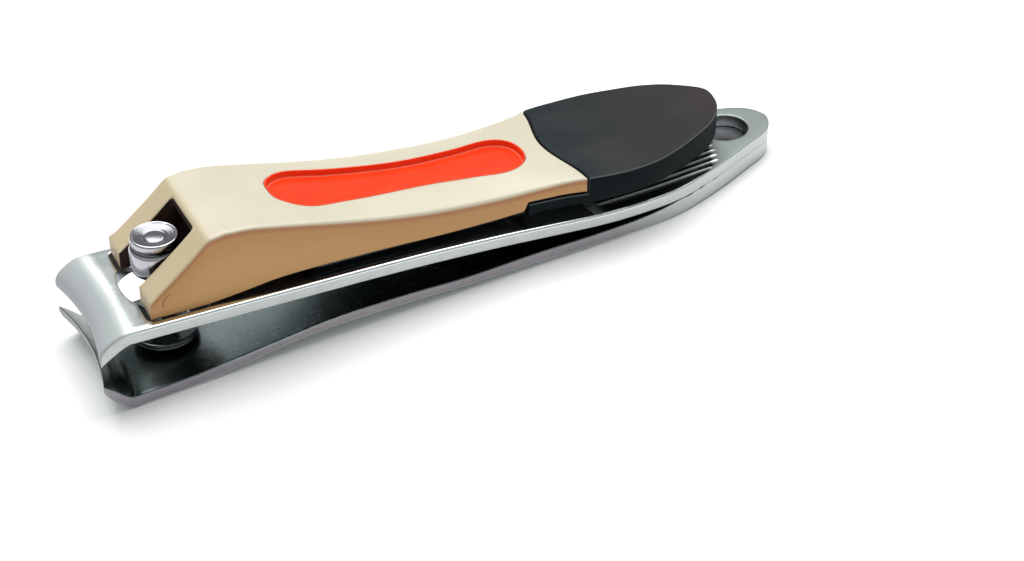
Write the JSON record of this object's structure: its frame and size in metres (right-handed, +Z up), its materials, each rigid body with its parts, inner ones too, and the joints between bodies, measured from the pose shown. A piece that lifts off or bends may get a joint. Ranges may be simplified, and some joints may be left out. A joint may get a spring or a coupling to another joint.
{
  "type": "lever nail clipper",
  "caption": "Pocket nail clipper with curved jaws, two sprung steel arms, a turning post and a fold-flat thumb lever with painted cover, plastic inlay and dark grip.",
  "frame": {"origin": "centre of the footprint, on the table that the clipper lies on", "axes": "+X along the clipper towards its tail, jaws at -X; +Y across it; +Z up from the table"},
  "size_m": [0.0816, 0.0164, 0.0161],
  "materials": {
    "arm_chrome": "polished chrome faces with satin ground edges",
    "post_chrome": "polished",
    "cover_paint": "satin pearl paint",
    "pin_steel": "turned",
    "inlay_plastic": "glossy",
    "grip_plastic": "fine matte"
  },
  "bodies": {
    "lower_arm": {"lower_arm": "arm_chrome"},
    "upper_arm": {"upper_arm": "arm_chrome"},
    "post": {"post": "post_chrome", "post_collar": "post_chrome"},
    "lever": {"lever_cover": "cover_paint", "lever_cross_pin": "pin_steel", "lever_inlay": "inlay_plastic", "lever_grip": "grip_plastic"}
  },
  "joints": [
    {"name": "arm_flex", "type": "hinge", "parent": "lower_arm", "child": "upper_arm", "pos_m": [0.02401, 0, 0.00193], "axis": [0, -1, 0], "range_deg": [0, 2], "stiffness_Nm_per_rad": 28},
    {"name": "post_turn", "type": "hinge", "parent": "lower_arm", "child": "post", "pos_m": [-0.03163, 0, 0.00861], "axis": [0.0854, 0, 0.9963], "range_deg": [0, 180]},
    {"name": "lever_fold", "type": "hinge", "parent": "post", "child": "lever", "pos_m": [-0.03145, 0, 0.0106], "axis": [0, -1, 0], "range_deg": [0, 124]}
  ]
}
